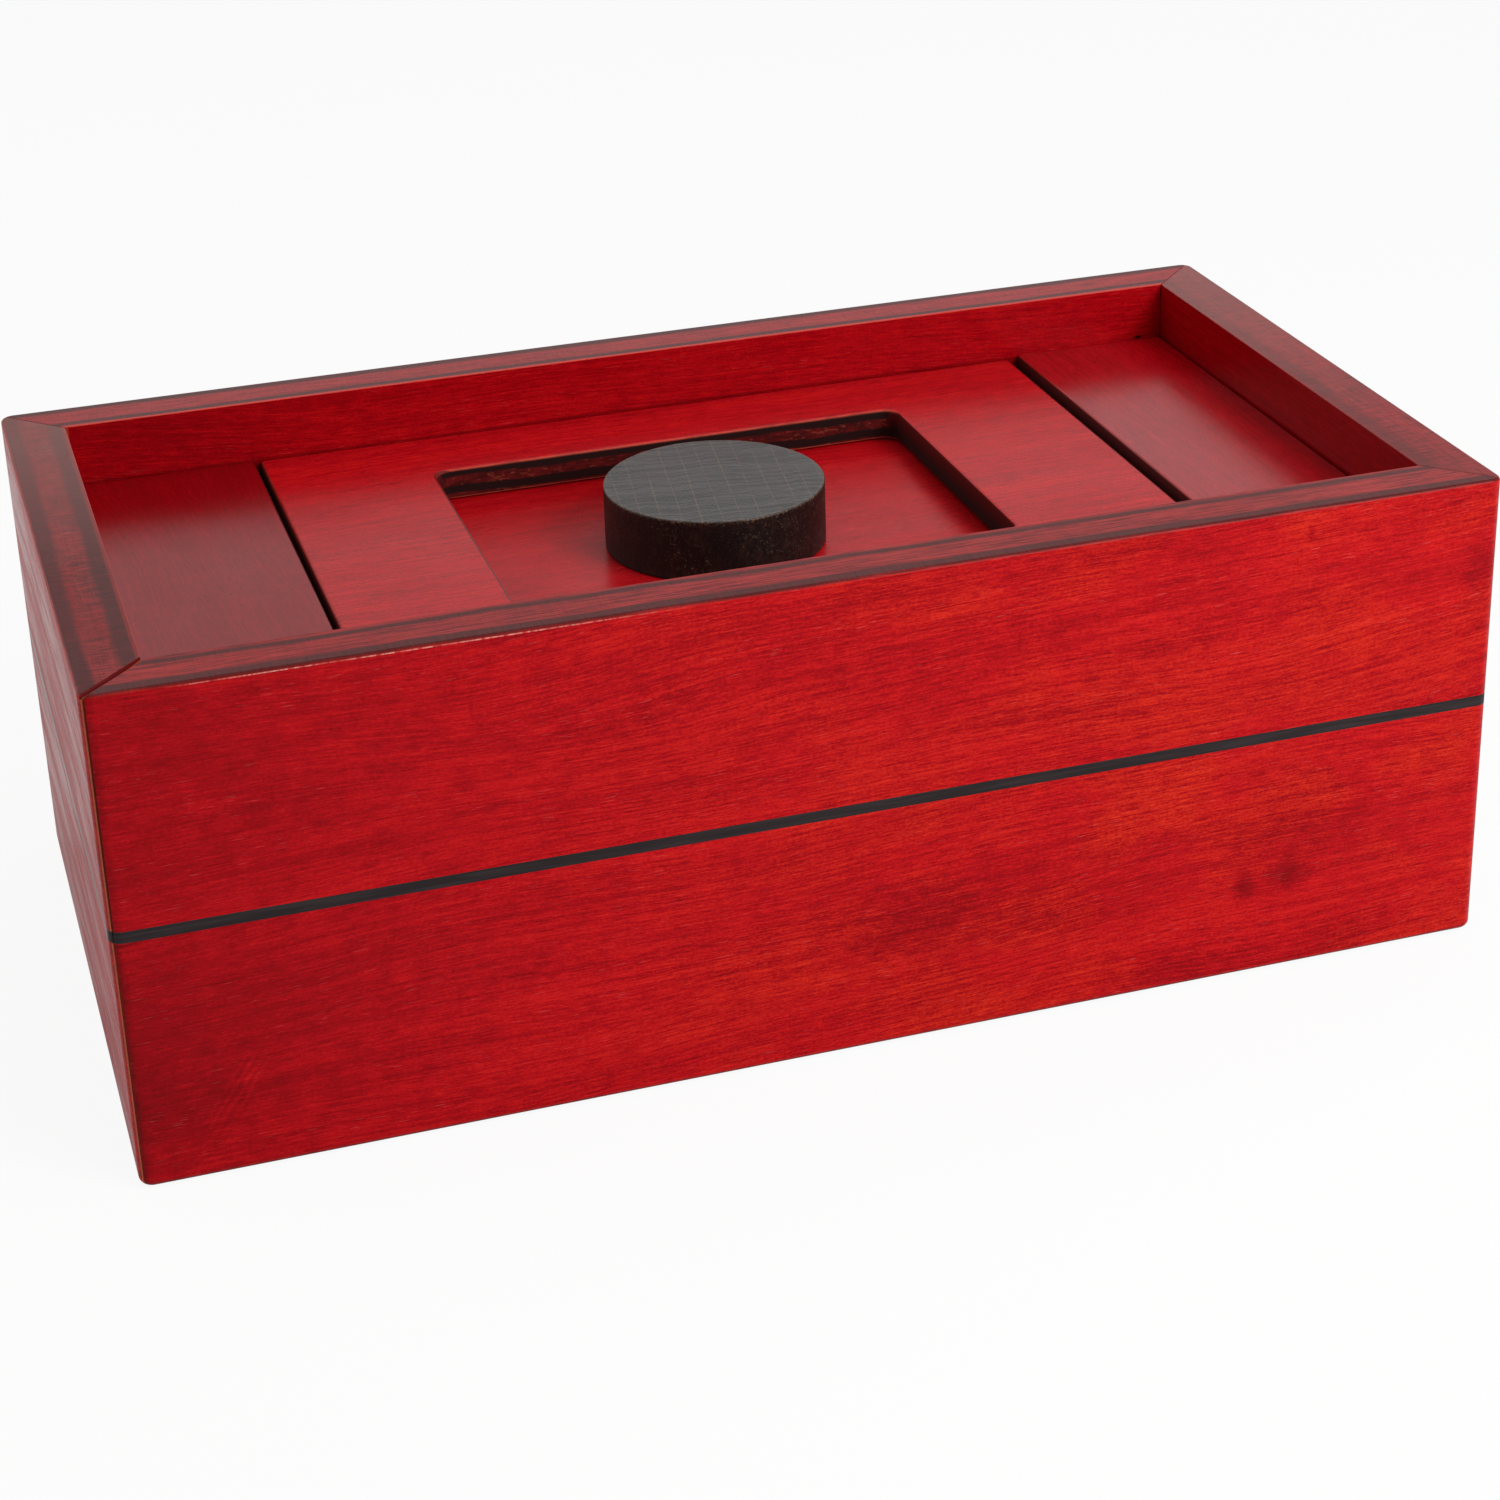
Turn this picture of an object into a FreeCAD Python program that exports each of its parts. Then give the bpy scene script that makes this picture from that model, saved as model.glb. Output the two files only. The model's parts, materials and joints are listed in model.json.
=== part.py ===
import FreeCAD, Part
import math
import os
import Sketcher

# Wooden puzzle box in millimetres: a plywood base, and a lid with a sunk deck. A round
# knob in the deck's window slides a hidden bolt, which holds the lid at either end of its way.
# X runs along the length, the front is at -Y and Z is up. The origin is the middle of the
# resting face. The pieces stand as in the closed box, with the knob near the middle.

# Driving dimensions
SIZES = {
    # outside
    "box_length": 200.0,
    "box_width": 107.0,
    "box_height": 73.2,
    "wall_thickness": 9.0,
    "corner_radius": 2.0,
    "bottom_edge_radius": 1.2,
    "top_edge_radius": 0.6,
    "mitre_glue_line": 0.1,
    # base and black line
    "base_height": 37.7,
    "band_height": 1.7,
    "bottom_thickness": 4.0,
    "bottom_rise": 3.0,
    "bottom_groove_depth": 4.0,
    # deck
    "recess_depth": 9.5,
    "deck_thickness": 5.0,
    "right_panel_rise": 0.5,
    "tongue_thickness": 3.0,
    "deck_groove_depth": 3.0,
    "groove_clearance": 0.1,
    "panel_clearance": 0.2,
    "left_panel_length": 28.0,
    "right_panel_length": 26.0,
    "left_gap": 0.9,
    "right_gap": 1.6,
    "window_length": 75.2,
    "window_width": 54.0,
    "window_setback": 2.4,
    "window_radius": 2.5,
    # knob and slider
    "knob_diameter": 33.0,
    "knob_height": 9.5,
    "knob_edge_radius": 0.25,
    "knob_travel": 18.0,
    "knob_rest": -1.3,
    "dowel_diameter": 8.0,
    "dowel_depth": 6.0,
    "dowel_clearance": 0.05,
    "slider_thickness": 4.0,
    "slider_overlap": 4.0,
    "slider_clearance": 0.2,
    "run_clearance": 0.3,
    "bolt_thickness": 4.0,
    "bolt_width": 18.0,
    "runner_width": 8.0,
    "bolt_tip_radius": 2.0,
    "bolt_end_clearance": 0.8,
    # inside of the lid
    "rail_width": 6.0,
    "cover_thickness": 4.0,
    "cover_clearance": 0.5,
    # liners
    "liner_thickness": 4.0,
    "liner_relief": 0.3,
    "liner_top_clearance": 0.3,
    "mortise_clearance": 0.5,
    "mortise_drop": 2.0,
}

# Places and sizes that follow from the driving dimensions
DERIVED = {
    "half_length": "size.box_length / 2",
    "half_width": "size.box_width / 2",
    "bottom_rounding": "min(size.bottom_edge_radius; 0.9 * size.corner_radius)",
    "top_rounding": "min(size.top_edge_radius; 0.9 * size.corner_radius)",
    "inner_x": "half_length - size.wall_thickness",
    "inner_y": "half_width - size.wall_thickness",
    "lid_wall_bottom": "size.base_height + size.band_height",
    "bottom_top": "size.bottom_rise + size.bottom_thickness",
    "bottom_groove_x": "inner_x + size.bottom_groove_depth",
    "bottom_groove_y": "inner_y + size.bottom_groove_depth",
    "deck_top": "size.box_height - size.recess_depth",
    "deck_bottom": "deck_top - size.deck_thickness",
    "deck_groove_x": "inner_x + size.deck_groove_depth",
    "deck_groove_y": "inner_y + size.deck_groove_depth",
    "tongue_x": "deck_groove_x - size.panel_clearance",
    "tongue_y": "deck_groove_y - size.panel_clearance",
    "field_x": "inner_x - size.panel_clearance",
    "field_y": "inner_y - size.panel_clearance",
    "left_panel_end": "size.left_panel_length - inner_x",
    "right_panel_end": "inner_x - size.right_panel_length",
    "shift_left": "left_panel_end + size.left_gap",
    "shift_right": "right_panel_end - size.right_gap",
    "window_x": "size.window_length / 2",
    "window_front": "size.window_setback - size.window_width / 2",
    "window_back": "size.window_setback + size.window_width / 2",
    "slider_top": "deck_bottom - size.slider_clearance",
    "slider_bottom": "slider_top - size.slider_thickness",
    "slider_x": "window_x + size.knob_travel + size.slider_overlap",
    "slider_y": "inner_y - size.rail_width - size.run_clearance",
    "bolt_bottom": "slider_bottom - size.bolt_thickness",
    "bolt_x": "inner_x - size.bolt_end_clearance - size.knob_travel",
    "bolt_y": "size.bolt_width / 2",
    "dowel_top": "slider_top + size.dowel_depth - size.dowel_clearance",
    "cover_top": "bolt_bottom - size.run_clearance",
    "cover_bottom": "cover_top - size.cover_thickness",
    "liner_inner_x": "inner_x - size.liner_thickness",
    "liner_inner_y": "inner_y - size.liner_thickness",
    "cover_x": "liner_inner_x - size.cover_clearance",
    "end_liner_top": "deck_bottom - size.liner_top_clearance",
    "side_liner_top": "cover_bottom - size.liner_top_clearance",
    "end_liner_y": "inner_y - size.liner_relief",
    "mortise_y": "bolt_y + size.mortise_clearance",
    "mortise_bottom": "bolt_bottom - size.mortise_drop",
    "mortise_top": "slider_bottom + size.mortise_clearance",
}

TINY = 1e-4

doc = FreeCAD.newDocument("puzzle_box")
nodes = {}


def fill_sheet(name, cells):
    """A sheet with a name in column A and its aliased cell in column B."""
    sheet = doc.addObject("Spreadsheet::Sheet", name)
    for row, (alias, content) in enumerate(cells.items(), start=1):
        sheet.set(f"A{row}", alias)
        sheet.set(f"B{row}", content)
        sheet.setAlias(f"B{row}", alias)
    return sheet


def node(item, name):
    """Register a finished sub-part under its own label."""
    item.Label = name
    nodes[name] = item
    return item


# Part primitives and booleans

def block(name, x, y, z):
    """A box between a low and a high expression on each axis."""
    box = doc.addObject("Part::Box", name)
    spans = (x, y, z)
    for side, (low, high) in zip(("Length", "Width", "Height"), spans):
        box.setExpression(side, f"({high}) - ({low})")
    for axis, (low, high) in zip("xyz", spans):
        box.setExpression(f"Placement.Base.{axis}", low)
    return box


def middle(half):
    """A span that reaches the same way to both sides of the middle."""
    return (f"-({half})", half)


def mitred_board(name, run, reach, turn, z):
    """A board mitred at both ends, made at the front and turned to its side of the box.

    run is half the outer length, and reach is the way from the middle to the outer face.
    """
    board = doc.addObject("Part::Wedge", name)
    outer = f"({run}) - size.mitre_glue_line"
    inner = f"({run}) - size.mitre_glue_line - size.wall_thickness"
    board.setExpression("Ymin", f"-({reach})")
    board.setExpression("Ymax", f"size.wall_thickness - ({reach})")
    board.setExpression("Xmin", f"-({outer})")
    board.setExpression("Xmax", outer)
    board.setExpression("X2min", f"-({inner})")
    board.setExpression("X2max", inner)
    for low, high in (("Zmin", "Zmax"), ("Z2min", "Z2max")):
        board.setExpression(low, z[0])
        board.setExpression(high, z[1])
    board.Placement.Rotation = FreeCAD.Rotation(FreeCAD.Vector(0, 0, 1), turn)
    return board


def boolean(kind, name, base, tool):
    """A Part::Cut or Part::Common of two objects."""
    result = doc.addObject(f"Part::{kind}", name)
    result.Base = base
    result.Tool = tool
    return result


# Bodies, sketches and features

def new_body(name, x="0", z="0"):
    """A body whose own origin lies at x and z in the box."""
    body = doc.addObject("PartDesign::Body", name)
    body.setExpression("Placement.Base.x", x)
    body.setExpression("Placement.Base.z", z)
    return body


def new_sketch(body, role, name):
    """An empty sketch on one of the body's own origin planes."""
    plane = next(item for item in body.Origin.OriginFeatures if item.Role == role)
    sketch = body.newObject("Sketcher::SketchObject", name)
    sketch.AttachmentSupport = (plane, [""])
    sketch.MapMode = "FlatFace"
    return sketch


def pin_point(sketch, geometry, place, start, point):
    """Tie one sketch point to a pair of expressions."""
    for axis, guess, expression in zip("XY", start, point):
        constraint = Sketcher.Constraint(f"Distance{axis}", -1, 1, geometry, place, guess)
        name = f"{axis.lower()}_{geometry}"
        sketch.renameConstraint(sketch.addConstraint(constraint), name)
        sketch.setExpression(f"Constraints.{name}", expression)


def outline(body, role, name, corners):
    """A closed outline of straight lines through corners given as pairs of expressions."""
    sketch = new_sketch(body, role, name)
    count = len(corners)
    angles = [2 * math.pi * index / count + 1 for index in range(count)]
    starts = [FreeCAD.Vector(math.cos(angle), math.sin(angle), 0) for angle in angles]
    for index in range(count):
        sketch.addGeometry(Part.LineSegment(starts[index], starts[(index + 1) % count]))
    for index in range(count):
        sketch.addConstraint(Sketcher.Constraint("Coincident", index, 2, (index + 1) % count, 1))
    for index, corner in enumerate(corners):
        pin_point(sketch, index, 1, (starts[index].x, starts[index].y), corner)
    return sketch


def rectangle(body, role, name, x, y):
    """A rectangle outline between low and high expressions."""
    corners = [(x[0], y[0]), (x[1], y[0]), (x[1], y[1]), (x[0], y[1])]
    return outline(body, role, name, corners)


def circle(body, name, diameter):
    """A circle about the body's own origin."""
    sketch = new_sketch(body, "XY_Plane", name)
    start = Part.Circle(FreeCAD.Vector(0, 0, 0), FreeCAD.Vector(0, 0, 1), 1)
    sketch.addGeometry(start)
    sketch.addConstraint(Sketcher.Constraint("Coincident", 0, 3, -1, 1))
    constraint = sketch.addConstraint(Sketcher.Constraint("Diameter", 0, 2 * start.Radius))
    sketch.renameConstraint(constraint, "diameter")
    sketch.setExpression("Constraints.diameter", diameter)
    return sketch


def pad(body, sketch, name, length, symmetric=False):
    """Raise a sketch along its plane's normal, or to both sides of the plane."""
    feature = body.newObject("PartDesign::Pad", name)
    feature.Profile = sketch
    feature.SideType = "Symmetric" if symmetric else "One side"
    feature.setExpression("Length", length)
    doc.recompute()
    return feature


def pocket(body, sketch, name, depth):
    """Cut a sketch to both sides of its plane, depth to each side, and see that it cuts."""
    before = body.Shape.Volume
    feature = body.newObject("PartDesign::Pocket", name)
    feature.Profile = sketch
    feature.SideType = "Symmetric"
    feature.setExpression("Length", f"2 * ({depth})")
    doc.recompute()
    if body.Shape.Volume > before - TINY:
        raise RuntimeError(f"{name} cuts nothing")
    return feature


def round_edges(body, feature, name, radius, wanted):
    """Round the edges of a feature that the wanted test picks."""
    numbered = enumerate(feature.Shape.Edges, start=1)
    fillet = body.newObject("PartDesign::Fillet", name)
    fillet.Base = (feature, [f"Edge{number}" for number, edge in numbered if wanted(edge)])
    fillet.setExpression("Radius", radius)
    doc.recompute()
    return fillet


def upright(edge):
    """True for a straight edge along Z."""
    box = edge.BoundBox
    return box.XLength < TINY and box.YLength < TINY and box.ZLength > TINY


size = fill_sheet("size", {alias: str(value) for alias, value in SIZES.items()})
derived = fill_sheet("derived", {alias: f"={formula}" for alias, formula in DERIVED.items()})
doc.recompute()


# Outside of the glued-up box after its edges are sanded round

def sanded_outside():
    body = new_body("sanded_outside")
    plan = rectangle(body, "XY_Plane", "outside_plan",
                     middle("derived.half_length"), middle("derived.half_width"))
    blank = pad(body, plan, "outside_blank", "size.box_height")
    corners = round_edges(body, blank, "outside_corners", "size.corner_radius", upright)
    top = corners.Shape.BoundBox.ZMax
    lower = round_edges(body, corners, "outside_bottom_edge", "derived.bottom_rounding",
                        lambda edge: edge.BoundBox.ZMax < TINY)
    round_edges(body, lower, "outside_top_edge", "derived.top_rounding",
                lambda edge: edge.BoundBox.ZMin > top - TINY)
    return body


# Each side's half run and its reach from the middle, a quarter turn about Z after the last one
SIDES = {
    "front": ("derived.half_length", "derived.half_width"),
    "right": ("derived.half_width", "derived.half_length"),
    "back": ("derived.half_length", "derived.half_width"),
    "left": ("derived.half_width", "derived.half_length"),
}


def mitred_frame(prefix, suffix, z, outside, groove=None):
    """Four mitred boards, grooved on the inside and sanded on the outside."""
    quarter_turn = 360 / len(SIDES)
    for count, (side, (run, reach)) in enumerate(SIDES.items()):
        name = f"{prefix}_{side}{suffix}"
        board = mitred_board(f"{name}_board", run, reach, count * quarter_turn, z)
        if groove:
            board = boolean("Cut", f"{name}_grooved", board, groove)
        node(boolean("Common", f"{name}_sanded", board, outside), name)


# Base: walls, bottom panel and liners

def base_pieces(outside):
    groove = block("bottom_groove", middle("derived.bottom_groove_x"),
                   middle("derived.bottom_groove_y"),
                   ("size.bottom_rise - size.groove_clearance",
                    "derived.bottom_top + size.groove_clearance"))
    mitred_frame("base", "_wall", ("0", "size.base_height"), outside, groove)
    panel = block("bottom_board", middle("derived.bottom_groove_x - size.panel_clearance"),
                  middle("derived.bottom_groove_y - size.panel_clearance"),
                  ("size.bottom_rise", "derived.bottom_top"))
    node(panel, "bottom_panel")
    for side, sign in (("left", "-1"), ("right", "1")):
        end_liner(f"liner_{side}", sign)
    for side, sign in (("front", "-1"), ("back", "1")):
        side_liner(f"liner_{side}", sign)


def liner_section(sign, outer, inner, top):
    """A board on the bottom panel, relieved on the outside where the lid slides over it."""
    relieved = f"{sign} * ({outer} - size.liner_relief)"
    return [
        (f"{sign} * {outer}", "derived.bottom_top"),
        (f"{sign} * {outer}", "size.base_height"),
        (relieved, "size.base_height"),
        (relieved, top),
        (f"{sign} * {inner}", top),
        (f"{sign} * {inner}", "derived.bottom_top"),
    ]


def end_liner(name, sign):
    """An end liner, which rises into the lid and has the mortise for the bolt's tongue."""
    body = new_body(name)
    corners = liner_section(sign, "derived.inner_x", "derived.liner_inner_x", "derived.end_liner_top")
    section = outline(body, "XZ_Plane", f"{name}_section", corners)
    pad(body, section, f"{name}_board", "2 * derived.end_liner_y", symmetric=True)
    mouth = rectangle(body, "YZ_Plane", f"{name}_mouth", middle("derived.mortise_y"),
                      ("derived.mortise_bottom", "derived.mortise_top"))
    pocket(body, mouth, f"{name}_mortise", "derived.half_length")
    node(body, name)


def side_liner(name, sign):
    """A front or back liner between the end liners."""
    body = new_body(name)
    corners = liner_section(sign, "derived.inner_y", "derived.liner_inner_y", "derived.side_liner_top")
    section = outline(body, "YZ_Plane", f"{name}_section", corners)
    pad(body, section, f"{name}_board", "2 * derived.liner_inner_x", symmetric=True)
    node(body, name)


# Lid: black line, walls, deck, rails and cover

def lid_pieces(outside):
    groove = block("deck_groove", middle("derived.deck_groove_x"), middle("derived.deck_groove_y"),
                   ("derived.deck_bottom - size.groove_clearance",
                    "derived.deck_bottom + size.tongue_thickness + size.groove_clearance"))
    mitred_frame("band", "", ("size.base_height", "derived.lid_wall_bottom"), outside)
    mitred_frame("lid", "_wall", ("derived.lid_wall_bottom", "size.box_height"), outside, groove)
    deck_panel("left_end_panel", ("-derived.tongue_x", "derived.left_panel_end"),
               ("-derived.field_x", "derived.left_panel_end"), "size.deck_thickness")
    deck_panel("right_end_panel", ("derived.right_panel_end", "derived.tongue_x"),
               ("derived.right_panel_end", "derived.field_x"),
               "size.deck_thickness + size.right_panel_rise")
    rail_height = ("derived.cover_top", "derived.deck_bottom")
    rail_inner = "derived.inner_y - size.rail_width"
    for name, y in (("rail_front", ("-derived.inner_y", f"-({rail_inner})")),
                    ("rail_back", (rail_inner, "derived.inner_y"))):
        node(block(f"{name}_strip", middle("derived.cover_x"), y, rail_height), name)
    cover = block("cover_board", middle("derived.cover_x"), middle("derived.inner_y"),
                  ("derived.cover_bottom", "derived.cover_top"))
    node(cover, "cover_plate")


def deck_panel(name, tongue_x, field_x, thickness):
    """A deck board with a thin tongue in the wall grooves and a thicker field between the walls."""
    body = new_body(name, z="derived.deck_bottom")
    tongue = rectangle(body, "XY_Plane", f"{name}_tongue_plan", tongue_x, middle("derived.tongue_y"))
    pad(body, tongue, f"{name}_tongue", "size.tongue_thickness")
    field = rectangle(body, "XY_Plane", f"{name}_field_plan", field_x, middle("derived.field_y"))
    pad(body, field, f"{name}_field", thickness)
    return node(body, name)


# Middle of the deck, loose between the end panels, with its window

def shift_panel():
    span = ("derived.shift_left", "derived.shift_right")
    body = deck_panel("shift_panel", span, span, "size.deck_thickness")
    plan = rectangle(body, "XY_Plane", "window_plan", middle("derived.window_x"),
                     ("derived.window_front", "derived.window_back"))
    window = pocket(body, plan, "window", "2 * size.deck_thickness")
    reach = derived.get("window_x") + TINY
    round_edges(body, window, "window_corners", "size.window_radius",
                lambda edge: upright(edge) and abs(edge.CenterOfMass.x) < reach)


# Knob and the slider that it moves

def slider_pieces():
    node(knob_disc(), "knob")
    node(dowel_pin(), "knob_dowel")
    plate = new_body("slider_plate", "size.knob_rest", "derived.slider_bottom")
    plan = rectangle(plate, "XY_Plane", "slider_plan",
                     middle("derived.slider_x"), middle("derived.slider_y"))
    pad(plate, plan, "slider_board", "size.slider_thickness")
    dowel_hole(plate, "slider_hole", "size.slider_thickness")
    node(plate, "slider_plate")
    node(bolt_bar(), "bolt_bar")
    length = ("size.knob_rest - derived.slider_x", "size.knob_rest + derived.slider_x")
    height = ("derived.bolt_bottom", "derived.slider_bottom")
    inner = "derived.slider_y - size.runner_width"
    for name, y in (("runner_front", ("-derived.slider_y", f"-({inner})")),
                    ("runner_back", (inner, "derived.slider_y"))):
        node(block(f"{name}_strip", length, y, height), name)


def dowel_hole(body, name, depth):
    """A hole for the dowel from the body's own base plane."""
    pocket(body, circle(body, f"{name}_plan", "size.dowel_diameter"), name, depth)


def knob_disc():
    """A slice of dowel with eased edges and a blind hole below."""
    body = new_body("knob", "size.knob_rest", "derived.slider_top")
    disc = pad(body, circle(body, "knob_plan", "size.knob_diameter"), "knob_slice", "size.knob_height")
    round_edges(body, disc, "knob_edges", "size.knob_edge_radius",
                lambda edge: edge.BoundBox.ZLength < TINY)
    dowel_hole(body, "knob_hole", "size.dowel_depth")
    return body


def dowel_pin():
    """The pin through bolt and slider plate into the knob."""
    pin = doc.addObject("Part::Cylinder", "dowel_pin")
    pin.setExpression("Radius", "size.dowel_diameter / 2 - size.dowel_clearance")
    pin.setExpression("Height", "derived.dowel_top - derived.bolt_bottom")
    pin.setExpression("Placement.Base.x", "size.knob_rest")
    pin.setExpression("Placement.Base.z", "derived.bolt_bottom")
    return pin


def bolt_bar():
    """The bar under the slider plate, whose rounded ends enter the mortises."""
    body = new_body("bolt_bar", "size.knob_rest", "derived.bolt_bottom")
    plan = rectangle(body, "XY_Plane", "bolt_plan", middle("derived.bolt_x"), middle("derived.bolt_y"))
    bar = pad(body, plan, "bolt_blank", "size.bolt_thickness")
    round_edges(body, bar, "bolt_tips", "size.bolt_tip_radius", upright)
    dowel_hole(body, "bolt_hole", "size.bolt_thickness")
    return body


outside = sanded_outside()
base_pieces(outside)
lid_pieces(outside)
shift_panel()
slider_pieces()
doc.recompute()

for item in doc.Objects:
    if "Invalid" in item.State or "Error" in item.State:
        raise RuntimeError(f"{item.Label} failed: {item.State}")
for name, item in nodes.items():
    if item.Shape.isNull() or not item.Shape.isValid():
        raise RuntimeError(f"{name} has no valid shape")

os.makedirs("parts", exist_ok=True)
for name, item in nodes.items():
    item.Shape.exportStep(f"parts/{name}.step")
    print(f"{name}: {len(item.Shape.Solids)} solid, {item.Shape.Volume:.0f} mm3")
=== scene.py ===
import json
import math

import bmesh
import bpy
from mathutils import Matrix, Vector

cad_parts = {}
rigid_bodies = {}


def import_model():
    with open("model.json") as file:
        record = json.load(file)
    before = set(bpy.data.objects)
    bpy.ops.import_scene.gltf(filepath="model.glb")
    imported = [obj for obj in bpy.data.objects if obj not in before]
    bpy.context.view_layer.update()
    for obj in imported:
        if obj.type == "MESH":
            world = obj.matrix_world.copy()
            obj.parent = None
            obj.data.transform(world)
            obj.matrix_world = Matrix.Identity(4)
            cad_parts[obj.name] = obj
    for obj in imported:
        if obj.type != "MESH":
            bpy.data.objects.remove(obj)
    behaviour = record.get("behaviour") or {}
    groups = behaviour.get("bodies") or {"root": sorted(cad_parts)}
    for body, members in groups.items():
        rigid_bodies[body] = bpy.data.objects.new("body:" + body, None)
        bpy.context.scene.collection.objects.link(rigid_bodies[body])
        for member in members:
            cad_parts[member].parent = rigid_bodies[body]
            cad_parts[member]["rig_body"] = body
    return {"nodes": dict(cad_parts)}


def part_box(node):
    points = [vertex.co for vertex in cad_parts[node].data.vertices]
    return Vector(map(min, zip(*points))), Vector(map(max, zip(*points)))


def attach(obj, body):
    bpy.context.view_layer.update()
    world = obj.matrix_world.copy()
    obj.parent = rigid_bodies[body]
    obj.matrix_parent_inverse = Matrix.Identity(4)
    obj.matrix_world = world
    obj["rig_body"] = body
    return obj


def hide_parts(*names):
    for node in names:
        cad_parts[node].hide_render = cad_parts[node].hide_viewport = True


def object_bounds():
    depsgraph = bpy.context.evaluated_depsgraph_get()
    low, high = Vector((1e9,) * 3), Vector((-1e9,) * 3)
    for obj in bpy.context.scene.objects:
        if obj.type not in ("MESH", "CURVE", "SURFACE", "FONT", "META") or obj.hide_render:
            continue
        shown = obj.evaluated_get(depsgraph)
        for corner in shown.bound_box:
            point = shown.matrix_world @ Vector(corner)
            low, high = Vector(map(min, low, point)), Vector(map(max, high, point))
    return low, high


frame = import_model()
cad_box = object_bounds()

MM = 0.001

# Places in the frame, in millimetres
HALF_LENGTH = cad_box[1][0] / MM
HALF_DEPTH = cad_box[1][1] / MM
HEIGHT = cad_box[1][2] / MM
WALL = (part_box("lid_front_wall")[1].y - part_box("lid_front_wall")[0].y) / MM
DECK_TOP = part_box("shift_panel")[1].z / MM
DECK_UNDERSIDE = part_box("shift_panel")[0].z / MM
BASE_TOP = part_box("base_front_wall")[1].z / MM
LINE_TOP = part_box("band_front")[1].z / MM
KNOB_LOW, KNOB_HIGH = (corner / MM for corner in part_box("knob"))
KNOB_MIDDLE = (KNOB_LOW + KNOB_HIGH) / 2

# Directions
X = Vector((1, 0, 0))
Y = Vector((0, 1, 0))
Z = Vector((0, 0, 1))

# Camera, fitted to the corners of the box in the photograph
CAMERA_AZIMUTH = -17.343
CAMERA_ELEVATION = 23.972
CAMERA_ROLL = -1.580
CAMERA_DISTANCE = 475.9
CAMERA_TARGET = Vector((8.87, 0.0, 46.80))
CAMERA_LENS = 75.07
CAMERA_SENSOR = 36.0
CAMERA_SHIFT = (-0.0217, -0.10)
CAMERA_CLIP = 0.01

# Floor, lights and world, in metres and watts. A light has its place, power and size
FLOOR_REACH = 4.0
FLOOR_LEVEL = -0.0003
FLOOR_DARK = (0.84, 0.84, 0.84)
FLOOR_PALE = (0.87, 0.87, 0.87)
FLOOR_SEEN = 0.92
FLOOR_MIRRORED = 0.20
LIGHTS = {
    "key": ((0.32, -0.44, 0.42), 3.28, (0.34, 0.34)),
    "top": ((0.20, 0.05, 1.1), 3.8, (0.9, 0.9)),
    "fill": ((-0.60, 0.22, 0.34), 0.7, (0.5, 0.5)),
}
LIGHT_TARGET = Vector((0.0, 0.0, 0.04))
WORLD_FILL = 0.18
WORLD_SEEN = 1.0

# Linear colours of the stained wood
RED_LINE = (0.20, 0.001, 0.003)
RED_DEEP = (0.315, 0.001, 0.005)
RED = (0.46, 0.003, 0.007)
RED_BRIGHT = (0.63, 0.011, 0.010)
# Lit copies of the red, for painted orange light
PAINTED_LIGHT_RED = (0.485, 0.0075, 0.006)
PAINTED_LIGHT_BRIGHT = (0.68, 0.028, 0.009)
PORE_PALE = (0.72, 0.13, 0.12)
END_GRAIN = (0.105, 0.006, 0.006)
RIM_CORE = (0.44, 0.026, 0.024)
RIM_RED = (0.34, 0.012, 0.013)
RIM_STRAND = (0.13, 0.004, 0.005)
RIM_PAINTED_SHEEN = (0.30, 0.110, 0.095)
WORN_WALL = (0.60, 0.030, 0.016)
# Pale orange of worn panel edges, which also stands for a painted highlight on them
PANEL_WEAR_AND_HIGHLIGHT = (0.60, 0.085, 0.050)
CHIP = (0.80, 0.40, 0.33)
# Dark red of the mitre seams, also used for painted shade lines at the deck and on the panels' right edges
SEAM_AND_SHADE = (0.100, 0.001, 0.002)
CORNER_WEAR_AND_HIGHLIGHT = (0.58, 0.190, 0.075)
# Near black of burnt plywood layers and pits, also painted shade in a hole and on the boards under the deck
BURNT_AND_SHADE = (0.012, 0.002, 0.002)
WINDOW_CORE = (0.115, 0.005, 0.005)
WINDOW_FLECK = (0.250, 0.055, 0.028)
PANEL_END = (0.085, 0.002, 0.002)
PANEL_END_SHADED = (0.014, 0.001, 0.001)
LINE_BLACK = (0.022, 0.017, 0.018)

# Linear colours of the bare wood and of the knob
BIRCH_PALE = (0.74, 0.55, 0.36)
BIRCH = (0.62, 0.43, 0.25)
BIRCH_DARK = (0.42, 0.26, 0.13)
KNOB_TOP_COLOUR = (0.050, 0.045, 0.042)
KNOB_SIDE_COLOUR = (0.005, 0.0015, 0.0012)
KNOB_SIDE_STREAK = (0.022, 0.009, 0.006)
KNOB_SPECK = (0.15, 0.08, 0.045)
KNOB_GREY = (0.080, 0.075, 0.058)
KNOB_RAY = (0.17, 0.10, 0.055)

# How much the grain rises along a board
GRAIN_SLOPE = 0.035

# How light the stain is on a plain face, and how much each pattern changes it
PLAIN_SHADE = 0.58
SHADE_WEIGHTS = {"figure": 0.34, "lines": 0.92, "fibres": 1.08, "speckle": 0.98, "shimmer": 0.32}

# Index of refraction of each finish, and the depth of its relief in millimetres
WALL_IOR = 1.16
BARE_IOR = 1.40
KNOB_IOR = 1.32
FLOOR_IOR = 1.3
FLOOR_ROUGHNESS = 0.9
LACQUER_RELIEF = 0.035
BARE_RELIEF = 0.06
LINE_RELIEF = 0.02
KNOB_RELIEF = 0.12

# The direction of the knob's growth lines, the one across them, and its rays to a millimetre
KNOB_GROWTH = Vector((0.99, -0.137, 0.0))
KNOB_ACROSS = Vector((0.137, 0.99, 0.0))
KNOB_RAYS = 0.357

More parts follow.
